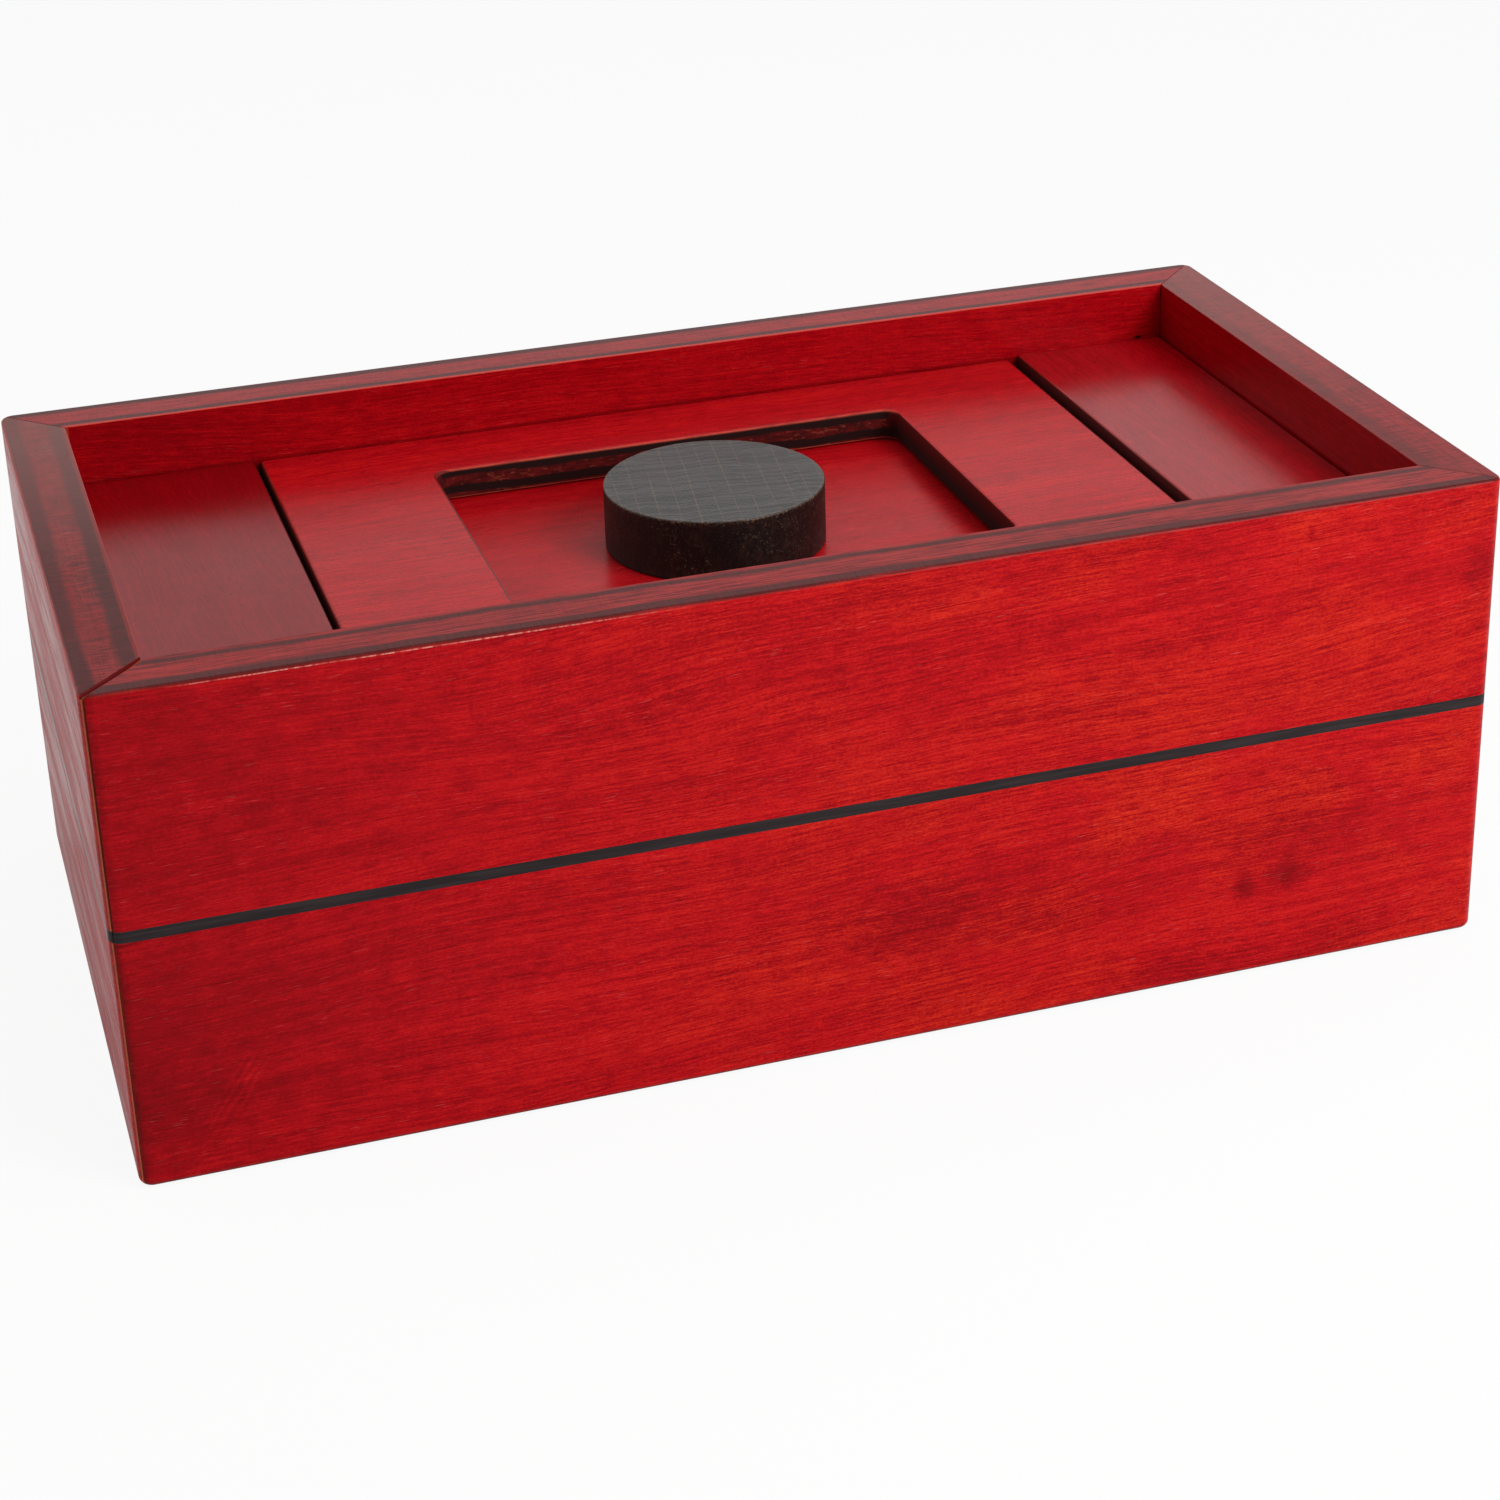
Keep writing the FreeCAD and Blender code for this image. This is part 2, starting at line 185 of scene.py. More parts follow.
# Ranges over which a surface turns from one side of a board to the next
HALF_TURN = (0.4, 0.6)
FACE_TURN = (0.50, 0.66)
RIM_TURN = (0.36, 0.60)
PANEL_ROUNDING = (0.12, 0.40)


def toned(colour, factor):
    """A colour made lighter or darker by a factor."""
    return tuple(factor * part for part in colour)


class Graph:
    """Short calls that build the nodes of one material."""

    def __init__(self, name):
        self.material = bpy.data.materials.new(name)
        self.material.use_nodes = True
        self.tree = self.material.node_tree
        self.tree.nodes.clear()
        self.shader = self.add("ShaderNodeBsdfPrincipled")
        self.output = self.add("ShaderNodeOutputMaterial")
        self.tree.links.new(self.shader.outputs[0], self.output.inputs["Surface"])
        place = self.add("ShaderNodeTexCoord")
        self.position = self.scaled(place.outputs["Object"], (1 / MM,) * 3)
        self.normal = place.outputs["Normal"]

    def add(self, kind, **settings):
        node = self.tree.nodes.new(kind)
        for name, value in settings.items():
            setattr(node, name, value)
        return node

    def plug(self, socket, value):
        if isinstance(value, bpy.types.NodeSocket):
            self.tree.links.new(value, socket)
        elif socket.type == "RGBA":
            socket.default_value = (*value, 1.0)
        else:
            socket.default_value = value

    def math(self, operation, *values):
        node = self.add("ShaderNodeMath", operation=operation)
        for socket, value in zip(node.inputs, values):
            self.plug(socket, value)
        return node.outputs[0]

    def vector(self, operation, *values):
        node = self.add("ShaderNodeVectorMath", operation=operation)
        for socket, value in zip(node.inputs, values):
            self.plug(socket, value)
        return node.outputs["Value" if operation == "DOT_PRODUCT" else "Vector"]

    def scaled(self, vector, factors):
        return self.vector("MULTIPLY", vector, tuple(factors))

    def place_along(self, direction):
        """How far a point lies along a direction, in millimetres."""
        return self.vector("DOT_PRODUCT", self.position, tuple(direction))

    def turn_to(self, direction):
        """How much the surface faces a direction: 1 towards it, -1 away from it."""
        return self.vector("DOT_PRODUCT", self.normal, tuple(direction))

    def length(self, x, y):
        """The length of a step with these two parts."""
        return self.math("SQRT", self.math("ADD", self.times(x, x), self.times(y, y)))

    def joined(self, x, y, z):
        node = self.add("ShaderNodeCombineXYZ")
        for socket, value in zip(node.inputs, (x, y, z)):
            self.plug(socket, value)
        return node.outputs[0]

    def noise(self, vector, detail=2.0, rough=0.5, warp=0.0):
        node = self.add("ShaderNodeTexNoise")
        self.plug(node.inputs["Vector"], vector)
        node.inputs["Scale"].default_value = 1.0
        node.inputs["Detail"].default_value = detail
        node.inputs["Roughness"].default_value = rough
        node.inputs["Distortion"].default_value = warp
        return node.outputs["Fac"]

    def step(self, value, start, end, low=0.0, high=1.0):
        """A smooth step from low at start to high at end."""
        node = self.add("ShaderNodeMapRange", interpolation_type="SMOOTHSTEP")
        for socket, given in zip(node.inputs, (value, start, end, low, high)):
            self.plug(socket, given)
        return node.outputs[0]

    def ramp(self, value, stops):
        """A colour between the stops, given as place and colour."""
        node = self.add("ShaderNodeValToRGB")
        self.plug(node.inputs[0], value)
        elements = node.color_ramp.elements
        while len(elements) < len(stops):
            elements.new(0.5)
        for element, (place, colour) in zip(elements, stops):
            element.position = place
            element.color = (*colour, 1.0)
        return node.outputs[0]

    def total(self, start, *terms):
        """start plus each pattern's distance from its middle, times its weight."""
        result = start
        for pattern, weight in terms:
            part = self.math("MULTIPLY", self.math("SUBTRACT", pattern, 0.5), weight)
            result = self.math("ADD", result, part)
        return result

    def mix(self, share, first, second):
        """A colour between two colours: the first at a share of 0, the second at 1."""
        node = self.add("ShaderNodeMix", data_type="RGBA")
        for number, value in ((0, share), (6, first), (7, second)):
            self.plug(node.inputs[number], value)
        return node.outputs[2]

    def times(self, *values):
        result = values[0]
        for value in values[1:]:
            result = self.math("MULTIPLY", result, value)
        return result

    def bump(self, height, depth):
        """Relief whose full height is depth, in millimetres."""
        node = self.add("ShaderNodeBump")
        node.inputs["Distance"].default_value = depth * MM
        self.plug(node.inputs["Height"], height)
        self.plug(self.shader.inputs["Normal"], node.outputs[0])

    def finish(self, colour, roughness, ior):
        self.plug(self.shader.inputs["Base Color"], colour)
        self.plug(self.shader.inputs["Roughness"], roughness)
        self.shader.inputs["IOR"].default_value = ior
        return self.material


class Board:
    """How a board lies: along its grain, inward through its layers, and across both."""

    def __init__(self, node, along, inward, seed, ply, tone=0.0, contrast=1.0):
        self.node = node
        self.along = along
        self.inward = inward
        self.across = along.cross(inward)
        self.seed = seed
        self.ply = ply
        self.tone = tone
        self.contrast = contrast
        low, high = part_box(node)
        self.face = min(low.dot(inward), high.dot(inward)) / MM
        self.thickness = abs((high - low).dot(inward)) / MM

    def coordinates(self, graph):
        """Sockets for the place along the board, below its face and across it, in millimetres."""
        along = graph.place_along(self.along)
        inward = graph.place_along(self.inward)
        across = graph.place_along(self.across)
        return along, graph.math("SUBTRACT", inward, self.face), across

    def turned(self, graph):
        """How the surface is turned: -1 on the outer face, 0 on the edges, 1 on the inner face."""
        return graph.turn_to(self.inward)


def grain(graph, along, inward, across, seed):
    """The patterns of a sawn face, from slow figure and clouds to fibres and speckle, each about 0.5."""
    drift = graph.noise(graph.joined(graph.times(along, 0.012), graph.times(across, 0.03), seed), 1.0)
    level = graph.math("SUBTRACT", across, graph.times(along, GRAIN_SLOPE))
    bent = graph.total(level, (drift, 9.0))
    offset = (37.0 * seed, 5.0 * seed, 11.0 * seed)
    place = graph.vector("ADD", graph.joined(along, inward, bent), offset)
    return {
        "figure": graph.noise(graph.scaled(place, (0.014, 0.05, 0.20)), 3.0, 0.60, 0.2),
        "lines": graph.noise(graph.scaled(place, (0.055, 0.25, 2.5)), 3.0, 0.65),
        "fibres": graph.noise(graph.scaled(place, (0.36, 0.8, 5.6)), 2.0, 0.65),
        "speckle": graph.noise(graph.scaled(place, (1.8, 1.0, 2.8)), 3.0, 0.75),
        "strokes": graph.noise(graph.scaled(place, (0.07, 0.2, 2.1)), 1.0, 0.5),
        "clouds": graph.noise(graph.scaled(place, (0.045, 0.05, 0.075)), 3.0, 0.50, 0.5),
        "shimmer": graph.noise(graph.scaled(place, (0.25, 0.1, 0.33)), 3.0, 0.6),
        "pores": graph.noise(graph.scaled(place, (0.34, 0.8, 6.5)), 1.0, 0.4),
        "rows": graph.noise(graph.scaled(place, (0.03, 0.1, 0.35)), 2.0, 0.5),
    }


def red_shade(graph, board, parts):
    """How light the stain is on a face."""
    terms = [(parts[name], weight * board.contrast) for name, weight in SHADE_WEIGHTS.items()]
    shade = graph.total(PLAIN_SHADE + board.tone, *terms)
    clouds = graph.step(parts["clouds"], 0.50, 0.80, 0.0, 0.10 * board.contrast)
    return graph.math("SUBTRACT", shade, clouds)


def red_wood(graph, shade, middle=RED, bright=RED_BRIGHT):
    """The colour of the stained veneer, by how light the stain is."""
    return graph.ramp(shade, ((0.10, RED_LINE), (0.36, RED_DEEP), (0.56, middle), (0.88, bright)))


def wall_face(graph, board, wear, along, across, parts):
    """Stained veneer of a wall: dark strokes and clouds, the widest of them painted shade, pale open pores,
    and patches of painted orange light.
    """
    calm = graph.step(along, *wear["calm"])
    plain = PLAIN_SHADE + board.tone
    change = graph.times(graph.math("SUBTRACT", red_shade(graph, board, parts), plain), calm)
    strokes = graph.step(parts["strokes"], 0.66, 0.74, 0.0, 0.16 * board.contrast)
    shade = graph.math("SUBTRACT", graph.math("ADD", change, plain), strokes)
    if "curl" in wear:
        shade = graph.math("ADD", shade, curl_figure(graph, along, across, parts, wear["curl"]))
    # Patches of more stain, and wide ones that are painted shade
    for cloud in wear.get("clouds", ()):
        shade = graph.math("SUBTRACT", shade, stain_and_shade_patch(graph, along, across, parts, *cloud))
    dash = graph.times(graph.step(parts["pores"], 0.66, 0.73), graph.step(parts["rows"], 0.46, 0.60))
    dash = graph.times(dash, calm, 0.34 * board.contrast ** 2)
    colour = red_wood(graph, shade)
    # Painted light: patches of orange that grow towards the right end of the face
    if "warm" in wear:
        glow_share = graph.times(graph.step(parts["clouds"], 0.58, 0.36), graph.step(along, *wear["warm"]))
        colour = graph.mix(glow_share, colour, red_wood(graph, shade, PAINTED_LIGHT_RED, PAINTED_LIGHT_BRIGHT))
    return graph.mix(dash, colour, PORE_PALE)


def pits(graph, x, y, share):
    """Small dark pits, longer along x, in scattered fields."""
    spots = graph.noise(graph.joined(graph.times(x, 1.2), graph.times(y, 2.8), 5.0), 1.0, 0.5)
    field = graph.noise(graph.joined(graph.times(x, 0.09), graph.times(y, 0.09), 7.0), 1.0)
    return graph.times(graph.step(spots, 0.66, 0.75), graph.step(field, 0.40, 0.58), share)


def stain_and_shade_patch(graph, along, across, parts, middle_along, middle_across, reach_along, reach_across, depth):
    """A soft dark patch where the veneer took more stain, and painted shade where a wide one darkens the
    end of a face.
    """
    x = graph.times(graph.math("SUBTRACT", along, middle_along), 1 / reach_along)
    y = graph.times(graph.math("SUBTRACT", across, middle_across), 1 / reach_across)
    far = graph.length(x, y)
    ragged = graph.total(far, (parts["clouds"], 0.9), (parts["shimmer"], 0.6))
    return graph.step(ragged, 1.1, 0.0, 0.0, depth)


def curl_figure(graph, along, across, parts, middle):
    """Fine slanting ripples where the grain rises to the face."""
    x = graph.math("SUBTRACT", along, middle[0])
    y = graph.math("SUBTRACT", across, middle[1])
    slant = graph.math("SUBTRACT", graph.times(x, 0.80), graph.times(y, 0.55))
    wave = graph.math("SINE", graph.total(graph.times(slant, 6.0), (parts["shimmer"], 6.0)))
    lean = graph.math("SUBTRACT", x, graph.times(y, 0.60))
    far = graph.math("ADD", graph.times(lean, lean, 1 / 12), graph.times(y, y, 1 / 60))
    return graph.times(graph.step(far, 1.0, 0.1, 0.0, 0.065), wave)


def birch_face(graph, parts):
    """Bare birch veneer."""
    colour = graph.mix(graph.step(parts["figure"], 0.30, 0.70), BIRCH, BIRCH_PALE)
    colour = graph.mix(graph.times(graph.step(parts["lines"], 0.50, 0.75), 0.45), colour, BIRCH_DARK)
    return graph.mix(graph.times(graph.step(parts["fibres"], 0.55, 0.80), 0.30), colour, BIRCH_DARK)


def ply_layers(graph, depth, parts, edges, soft):
    """1 in the cross layers of the plywood, 0 in its long layers, by depth below the face."""
    depth = graph.total(depth, (parts["clouds"], 1.6), (parts["rows"], 0.8))
    share = 0.0
    for start, end in edges:
        rise = graph.step(depth, start - soft, start + soft)
        fall = graph.step(depth, end - soft, end + soft, 1.0, 0.0)
        share = graph.math("ADD", share, graph.times(rise, fall))
    return share


def rim_wood(graph, board, wear, along, depth, across, parts):
    """The edge of a wall: dark cross layers, and a red core with broken grain, both combed by the saw, and
    a painted sheen that turns it paler along the board.
    """
    saw = graph.noise(graph.joined(graph.times(along, 2.6), graph.times(depth, 0.14), across), 3.0, 0.6)
    soft = 0.28 + 0.3 * wear["combing"]
    cross = ply_layers(graph, graph.total(depth, (saw, wear["combing"])), parts, board.ply, soft)
    strands = graph.noise(graph.joined(graph.times(along, 0.13), graph.times(depth, 3.2), across), 3.0, 0.7)
    comb = graph.noise(graph.joined(graph.times(along, 4.2), graph.times(depth, 0.32), across), 2.0, 0.6)
    shade = graph.total(0.49, (strands, wear["strands"]), (comb, 0.9 * wear["comb"]))
    core = graph.ramp(shade, ((0.38, RIM_CORE), (0.49, RIM_RED), (0.60, RIM_STRAND)))
    deep = graph.total(0.5, (saw, 1.0), (comb, 1.6 * wear["comb"]))
    dark = graph.ramp(deep, ((0.30, END_GRAIN), (0.70, toned(END_GRAIN, 0.55))))
    patch = graph.noise(graph.joined(graph.times(along, 0.035), graph.times(depth, 0.15), across), 2.0)
    smear = graph.total(wear["dark"], (saw, wear["dark"]), (patch, 1.4 * wear["dark"]))
    core = graph.mix(graph.step(smear, 0.0, 1.0), core, dark)
    colour = graph.mix(graph.times(cross, wear["layers"]), core, dark)
    colour = graph.mix(pits(graph, depth, along, 0.8 * wear["comb"]), colour, BURNT_AND_SHADE)
    # Painted sheen: the rim grows paler towards the back, standing in for reflected light
    start, end, share = wear["fade"]
    return graph.mix(graph.step(along, start, end, 0.0, share), colour, RIM_PAINTED_SHEEN)


def panel_edge(graph, board, depth, parts):
    """The edge of a deck panel: burnt cross layers and a red core, and plain dark red across the grain that
    painted shade darkens further down.
    """
    cross = ply_layers(graph, depth, parts, board.ply, 0.18)
    core = graph.ramp(parts["fibres"], ((0.35, WINDOW_CORE), (0.62, toned(WINDOW_CORE, 0.4))))
    flecks = graph.noise(graph.scaled(graph.position, (0.8, 0.8, 2.2)), 2.0, 0.6)
    core = graph.mix(graph.step(flecks, 0.57, 0.69, 0.0, 0.55), core, WINDOW_FLECK)
    layered = graph.mix(cross, core, BURNT_AND_SHADE)
    # Painted shade: the ends grow darker further down into the gaps
    sunk = graph.times(depth, 1 / board.thickness)
    plain = graph.ramp(sunk, ((0.10, PANEL_END), (0.60, PANEL_END_SHADED)))
    endwise = graph.math("ABSOLUTE", graph.turn_to(X))
    return graph.mix(graph.step(endwise, 0.50, 0.75), layered, plain)


def red_wall(board, wear):
    """A red wall: veneer on its faces, plywood layers on its rim, bare wood inside below the deck."""
    graph = Graph(f"red_{board.node}")
    along, depth, across = board.coordinates(graph)
    turned = board.turned(graph)
    parts = grain(graph, along, depth, across, board.seed)
    colour = wall_face(graph, board, wear, along, across, parts)
    # Painted shadow: a dark line at the foot of the inner face, where the deck meets the wall
    colour = graph.mix(deck_shadow_line(graph, turned, parts, wear["foot"]), colour, SEAM_AND_SHADE)
    # Painted shade: each void is a hole painted near black, for the shade inside it
    for spot in wear.get("voids", ()):
        hole = stain_and_shade_patch(graph, along, across, parts, *spot)
        colour = graph.mix(graph.times(hole, graph.step(turned, *HALF_TURN)), colour, BURNT_AND_SHADE)
    level = graph.math("ABSOLUTE", graph.turn_to(board.across))
    rim = graph.step(level, *RIM_TURN)
    colour = graph.mix(rim, colour, rim_wood(graph, board, wear, along, depth, across, parts))
    rounding = graph.times(graph.step(level, 0.10, 0.30), graph.step(level, 0.70, 0.90, 1.0, 0.0))
    broken = graph.step(parts["shimmer"], 0.30, 0.60, 0.30, 0.85)
    colour = graph.mix(graph.times(rounding, broken, wear["worn"]), colour, WORN_WALL)
    arris = graph.step(depth, WALL - 0.8, WALL - 0.4, 0.0, wear["arris"])
    colour = graph.mix(graph.times(arris, rim), colour, WORN_WALL)
    if "chips" in wear:
        colour = graph.mix(edge_chips(graph, along, turned, level, *wear["chips"]), colour, CHIP)
    colour = mitre_seam(graph, board, wear, along, depth, parts, colour)
    colour = graph.mix(below_deck(graph, turned, parts), colour, birch_face(graph, parts))
    streaks = graph.total(parts["figure"], (parts["lines"], 0.8), (parts["clouds"], 0.5))
    smoother = graph.step(streaks, 0.40, 0.64, 0.0, wear["sheen"])
    roughness = graph.math("SUBTRACT", wear["roughness"], smoother)
    return lacquered(graph, parts, colour, roughness, WALL_IOR)


def edge_chips(graph, along, turned, level, start, end):
    """Small chips in the lacquer at the foot of the outer rounding, between two places along the board."""
    chip = graph.noise(graph.joined(graph.times(along, 0.8), 0.0, 4.0), 3.0, 0.65)
    stretch = graph.noise(graph.joined(graph.times(along, 0.14), 0.0, 8.0), 1.0)
    begun = graph.step(along, start - 4.0, start + 4.0)
    reach = graph.times(begun, graph.step(along, end + 12.0, end - 12.0))
    band = graph.times(graph.step(level, 0.14, 0.22), graph.step(level, 0.50, 0.36))
    torn = graph.step(chip, 0.42, 0.56, 0.15, 1.0)
    torn = graph.times(torn, graph.step(stretch, 0.34, 0.54, 0.30, 1.0))
    return graph.times(torn, reach, band, graph.step(turned, -0.4, -0.6, 0.0, 0.7))


def red_panel(board, roughness, ior):
    """A red deck panel: veneer on top, plywood layers on its edges, bare wood below."""
    graph = Graph(f"red_{board.node}")
    along, depth, across = board.coordinates(graph)
    turned = board.turned(graph)
    facing = graph.math("ABSOLUTE", turned)
    parts = grain(graph, along, depth, across, board.seed)
    colour = red_wood(graph, red_shade(graph, board, parts))
    dark = pits(graph, graph.place_along(X), graph.place_along(Y), 0.80)
    colour = graph.mix(dark, colour, BURNT_AND_SHADE)
    edge = panel_edge(graph, board, depth, parts)
    colour = graph.mix(graph.step(facing, *FACE_TURN), edge, colour)
    off_edge = graph.step(facing, *PANEL_ROUNDING)
    rounding = graph.times(off_edge, graph.step(facing, 0.90, 0.985, 1.0, 0.0))
    broken = graph.step(parts["shimmer"], 0.30, 0.60, 0.55, 0.95)
    # Worn edges and a painted highlight: the pale orange is strongest on roundings that face front and back
    lengthwise = graph.math("ABSOLUTE", graph.turn_to(Y))
    worn = graph.times(rounding, broken, graph.step(lengthwise, 0.10, 0.30, 0.18, 1.0))
    colour = graph.mix(worn, colour, PANEL_WEAR_AND_HIGHLIGHT)
    # Painted dark reflection: the roundings that turn to the right are darkened
    right_edge_dark_reflection = graph.step(graph.turn_to(X), 0.03, 0.12, 0.0, 0.9)
    colour = graph.mix(graph.times(right_edge_dark_reflection, off_edge), colour, SEAM_AND_SHADE)
    colour = graph.mix(graph.step(turned, *HALF_TURN), colour, birch_face(graph, parts))
    return lacquered(graph, parts, colour, graph.step(facing, 0.30, 0.60, 0.75, roughness), ior)


def lacquered(graph, parts, colour, roughness, ior):
    """Thin lacquer in which the grain still shows as relief."""
    relief = graph.math("ADD", graph.times(parts["lines"], 0.6), graph.times(parts["fibres"], 0.4))
    graph.bump(relief, LACQUER_RELIEF)
    return graph.finish(colour, graph.total(roughness, (parts["clouds"], 0.14)), ior)


def mitre_seam(graph, board, wear, along, depth, parts, colour):
    """The dark line where two boards meet at a mitre, and the line down the corner at its low end."""
    run = HALF_LENGTH * abs(board.along.x) + HALF_DEPTH * abs(board.along.y)
    gap = graph.math("SUBTRACT", graph.math("SUBTRACT", run, graph.math("ABSOLUTE", along)), depth)
    level = graph.turn_to(Z)
    width = graph.total(0.72, (parts["pores"], 0.4), (parts["rows"], 0.3))
    seam = graph.step(graph.math("SUBTRACT", gap, width), 0.10, -0.10)
    side = graph.step(along, -1.0, 1.0, *wear["mitre"])
    colour = graph.mix(graph.times(seam, side, graph.step(level, 0.10, 0.40)), colour, SEAM_AND_SHADE)
    # The corner line is dark red on the front walls and pale tan elsewhere: worn stain with a painted
    # highlight on the corner's rounding
    line_colour, share, reach = wear["corner"]
    line = graph.times(graph.step(gap, reach, 0.55 * reach), graph.step(along, 1.0, -1.0, 0.0, share))
    return graph.mix(graph.times(line, graph.step(level, 0.40, 0.10)), colour, line_colour)


def deck_shadow_line(graph, turned, parts, share):
    """A painted shadow: a dark line along the foot of a wall's inner face, where the deck comes out of it.
    """
    ragged = graph.total(graph.place_along(Z), (parts["rows"], 0.5))
    line = graph.step(ragged, DECK_TOP + 0.45, DECK_TOP + 0.15, 0.0, share)
    return graph.times(graph.step(turned, *HALF_TURN), line)


def below_deck(graph, turned, parts):
    """1 on the inner face of a wall below the deck, where the stain stops."""
    ragged = graph.total(graph.place_along(Z), (parts["lines"], 3.0))
    below = graph.step(ragged, DECK_UNDERSIDE, DECK_UNDERSIDE - 1.0)
    return graph.times(graph.step(turned, 0.80, 0.92), below)


def birch_board(board, darkened):
    """A bare plywood board with its layers on the edges, and painted shade, near black, on top where it
    shows through the deck's gaps.
    """
    graph = Graph(f"birch_{board.node}")
    along, depth, across = board.coordinates(graph)
    facing = graph.math("ABSOLUTE", board.turned(graph))
    parts = grain(graph, along, depth, across, board.seed)
    colour = birch_face(graph, parts)
    cross = ply_layers(graph, depth, parts, board.ply, 0.15)
    speckle = graph.times(graph.step(parts["pores"], 0.45, 0.70), 0.4)
    layer = graph.mix(speckle, graph.mix(cross, BIRCH, BIRCH_DARK), BIRCH_DARK)
    colour = graph.mix(graph.step(facing, *FACE_TURN), layer, colour)
    # Painted shade: the tops seen through the gaps in the deck are near black
    if darkened:
        colour = graph.mix(graph.step(graph.turn_to(Z), *HALF_TURN), colour, BURNT_AND_SHADE)
    relief = graph.math("ADD", graph.times(parts["lines"], 0.5), graph.times(parts["fibres"], 0.5))
    graph.bump(relief, BARE_RELIEF)
    return graph.finish(colour, graph.step(parts["clouds"], 0.25, 0.75, 0.55, 0.70), BARE_IOR)


def black_line():
    """Black stained strip, flush with the walls and smoother where it faces left."""
    graph = Graph("black_line")
    streak = graph.noise(graph.scaled(graph.position, (0.08, 0.08, 2.0)), 3.0, 0.6)
    colour = graph.mix(graph.step(streak, 0.35, 0.75), LINE_BLACK, toned(LINE_BLACK, 1.7))
    smoother = graph.step(graph.turn_to(-X), 0.75, 0.95, 0.0, 0.24)
    roughness = graph.math("SUBTRACT", graph.step(streak, 0.3, 0.7, 0.34, 0.46), smoother)
    graph.bump(streak, LINE_RELIEF)
    return graph.finish(colour, roughness, WALL_IOR)


def knob_wood():
    """Black stained end grain: growth lines on top, pale rays across them, and a rough dark side."""
    graph = Graph("black_knob")
    place = graph.vector("SUBTRACT", graph.position, tuple(KNOB_MIDDLE))
    x = graph.vector("DOT_PRODUCT", place, tuple(KNOB_GROWTH))
    y = graph.vector("DOT_PRODUCT", place, tuple(KNOB_ACROSS))
    height = graph.vector("DOT_PRODUCT", place, tuple(Z))
    top = graph.step(graph.turn_to(Z), 0.55, 0.80)
    waves = graph.noise(graph.joined(graph.times(x, 0.11), graph.times(y, 0.05), 2.0), 1.0)
    bent = graph.total(y, (waves, 3.2))
    rings = graph.noise(graph.joined(graph.times(x, 0.05), graph.times(bent, 1.1), 0.0), 4.0, 0.6)
    fine = graph.noise(graph.joined(graph.times(x, 0.7), graph.times(bent, 4.6), height), 2.0, 0.6)
    colour = graph.mix(graph.step(rings, 0.43, 0.58), KNOB_TOP_COLOUR, toned(KNOB_TOP_COLOUR, 0.28))
    colour = graph.mix(graph.times(graph.step(fine, 0.48, 0.68), 0.75), colour, KNOB_SIDE_COLOUR)
    sway = graph.noise(graph.joined(graph.times(x, 0.16), graph.times(y, 0.02), 3.0), 1.0)
    count = graph.math("ADD", graph.times(x, KNOB_RAYS), graph.times(sway, 0.7))
    ray = graph.step(graph.math("PINGPONG", count, 0.5), 0.032, 0.006)
    dashes = graph.noise(graph.joined(graph.times(x, 0.4), graph.times(y, 0.12), 9.0), 2.0)
    colour = graph.mix(graph.times(ray, graph.step(dashes, 0.30, 0.54), 0.60), colour, KNOB_RAY)
    shade = graph.noise(graph.scaled(place, (0.7, 0.7, 0.35)), 3.0, 0.65)
    side = graph.mix(graph.step(shade, 0.45, 0.75), KNOB_SIDE_COLOUR, KNOB_SIDE_STREAK)
    specks = graph.noise(graph.scaled(place, (3.0, 3.0, 2.6)), 2.0, 0.6)
    dust = graph.noise(graph.scaled(place, (2.2, 2.2, 2.4)), 3.0, 0.7)
    field = graph.noise(graph.scaled(place, (0.14, 0.14, 0.20)), 2.0)
    field = graph.step(field, 0.42, 0.62, 0.25, 1.0)
    side = graph.mix(graph.times(field, graph.step(dust, 0.58, 0.70, 0.0, 0.70)), side, KNOB_GREY)
    side = graph.mix(graph.times(field, graph.step(specks, 0.62, 0.72, 0.0, 0.80)), side, KNOB_SPECK)
    colour = graph.mix(top, side, colour)
    out = graph.length(x, y)
    radius = (KNOB_HIGH.x - KNOB_LOW.x) / 2
    brim = graph.times(graph.step(out, radius - 0.9, radius - 0.2), graph.step(height, 3.9, 4.6))
    colour = graph.mix(graph.times(brim, graph.step(specks, 0.48, 0.62), 0.55), colour, KNOB_SPECK)
    relief = graph.math("ADD", graph.times(specks, 0.7), graph.times(rings, 0.3))
    graph.bump(relief, KNOB_RELIEF)
    return graph.finish(colour, graph.step(top, 0.0, 1.0, 0.48, 0.33), KNOB_IOR)


def floor_material():
    """Pale paper that shows nearly white to the camera and still takes some shadow."""
    graph = Graph("pale_floor")
    mottle = graph.noise(graph.scaled(graph.position, (0.02, 0.02, 0.02)), 2.0)
    graph.finish(graph.mix(mottle, FLOOR_DARK, FLOOR_PALE), FLOOR_ROUGHNESS, FLOOR_IOR)
    rays = graph.add("ShaderNodeLightPath").outputs
    mirrored = graph.math("MAXIMUM", rays["Is Glossy Ray"], rays["Is Transmission Ray"])
    mirrored = graph.times(mirrored, FLOOR_MIRRORED)
    seen = graph.math("MAXIMUM", graph.times(rays["Is Camera Ray"], FLOOR_SEEN), mirrored)
    glow = graph.add("ShaderNodeEmission")
    blend = graph.add("ShaderNodeMixShader")
    graph.plug(blend.inputs[0], seen)
    graph.plug(blend.inputs[1], graph.shader.outputs[0])
    graph.plug(blend.inputs[2], glow.outputs[0])
    graph.plug(graph.output.inputs["Surface"], blend.outputs[0])
    return graph.material


# Boards

# A rim without painted sheen, and grain that doesn't grow calm
NO_PAINTED_RIM_SHEEN = (0.0, 1.0, 0.0)
NO_CALM = (0.0, 1.0, 1.0, 1.0)

